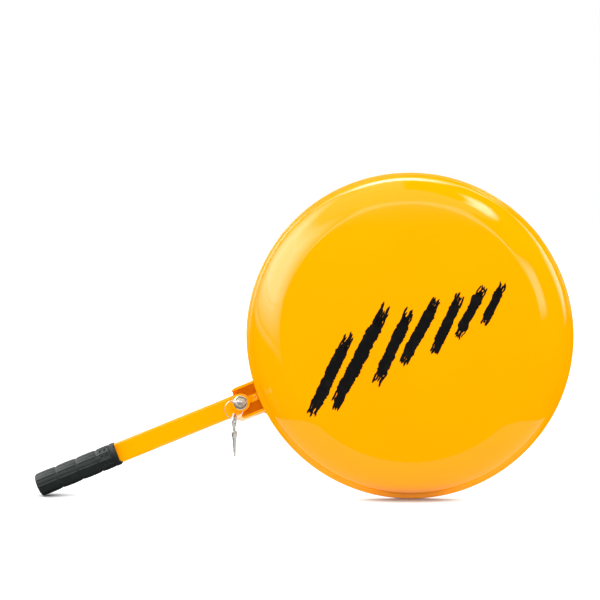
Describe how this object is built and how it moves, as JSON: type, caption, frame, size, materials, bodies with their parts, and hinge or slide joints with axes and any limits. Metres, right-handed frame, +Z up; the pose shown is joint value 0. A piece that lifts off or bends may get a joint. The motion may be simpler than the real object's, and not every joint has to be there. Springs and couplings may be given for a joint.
{
  "type": "wheel clamp",
  "caption": "Wheel clamp with a round pressed dish over the wheel, a telescopic forked tyre arm, a key lock on the spine and a rubber-gripped handle.",
  "frame": {"origin": "on the floor under the middle of the standing clamp's bounding box", "axes": "+Z up, -Y towards the viewer of the dish's front face, -X towards the handle; the dish leans back 10 degrees on its rear fork"},
  "size_m": [0.6628, 0.3366, 0.394],
  "materials": {
    "yellow_paint": "glossy enamel",
    "zinc_steel": "bright zinc plate",
    "lock_chrome": "polished chrome plate",
    "plug_brass": "satin brass",
    "key_nickel": "nickel plate with light scratches",
    "grip_rubber": "satin moulded rubber",
    "black_pvc": "soft dipped vinyl",
    "nylon": "natural nylon"
  },
  "bodies": {
    "clamp": {"dish": "yellow_paint", "saddle_outer": "yellow_paint", "saddle_inner": "yellow_paint", "saddle_bolts": "zinc_steel", "saddle_washers": "zinc_steel", "saddle_nuts": "zinc_steel", "spine_channel": "yellow_paint", "arm_guide": "yellow_paint", "glide_liner": "nylon", "wheel_pad": "grip_rubber", "stop_screw": "zinc_steel", "handle_tube": "yellow_paint", "handle_plug": "black_pvc", "grip": "grip_rubber", "lock_housing": "yellow_paint", "lock_strap": "yellow_paint", "strap_spacers": "zinc_steel", "strap_screws": "yellow_paint", "lock_body": "lock_chrome", "lock_pin": "zinc_steel"},
    "arm": {"arm_bar": "yellow_paint", "arm_stem": "yellow_paint", "fork_hub": "yellow_paint", "finger_upper": "yellow_paint", "finger_lower": "yellow_paint", "sleeve_upper": "black_pvc", "sleeve_lower": "black_pvc"},
    "plug": {"lock_plug": "plug_brass", "lock_cam": "zinc_steel", "cam_screw": "zinc_steel"},
    "key": {"key": "key_nickel"},
    "ring": {"key_ring": "key_nickel"},
    "spare": {"spare_key": "key_nickel"}
  },
  "joints": [
    {"name": "arm_slide", "type": "slide", "parent": "clamp", "child": "arm", "axis": [-0.9277, -0.0648, -0.3676], "range_m": [0, 0.1]},
    {"name": "plug_turn", "type": "hinge", "parent": "clamp", "child": "plug", "pos_m": [-0.07542, -0.11106, 0.1145], "axis": [0, 0.9848, -0.1736], "range_deg": [0, 90]},
    {"name": "key_pull", "type": "slide", "parent": "plug", "child": "key", "axis": [0, -0.9848, 0.1736], "range_m": [0, 0.03]},
    {"name": "ring_swing", "type": "hinge", "parent": "key", "child": "ring", "pos_m": [-0.08172, -0.13462, 0.11967], "axis": [1, 0, 0], "range_deg": [-40, 15]},
    {"name": "spare_swing", "type": "hinge", "parent": "ring", "child": "spare", "pos_m": [-0.08172, -0.13462, 0.09869], "axis": [1, 0, 0], "range_deg": [-40, 20]}
  ]
}
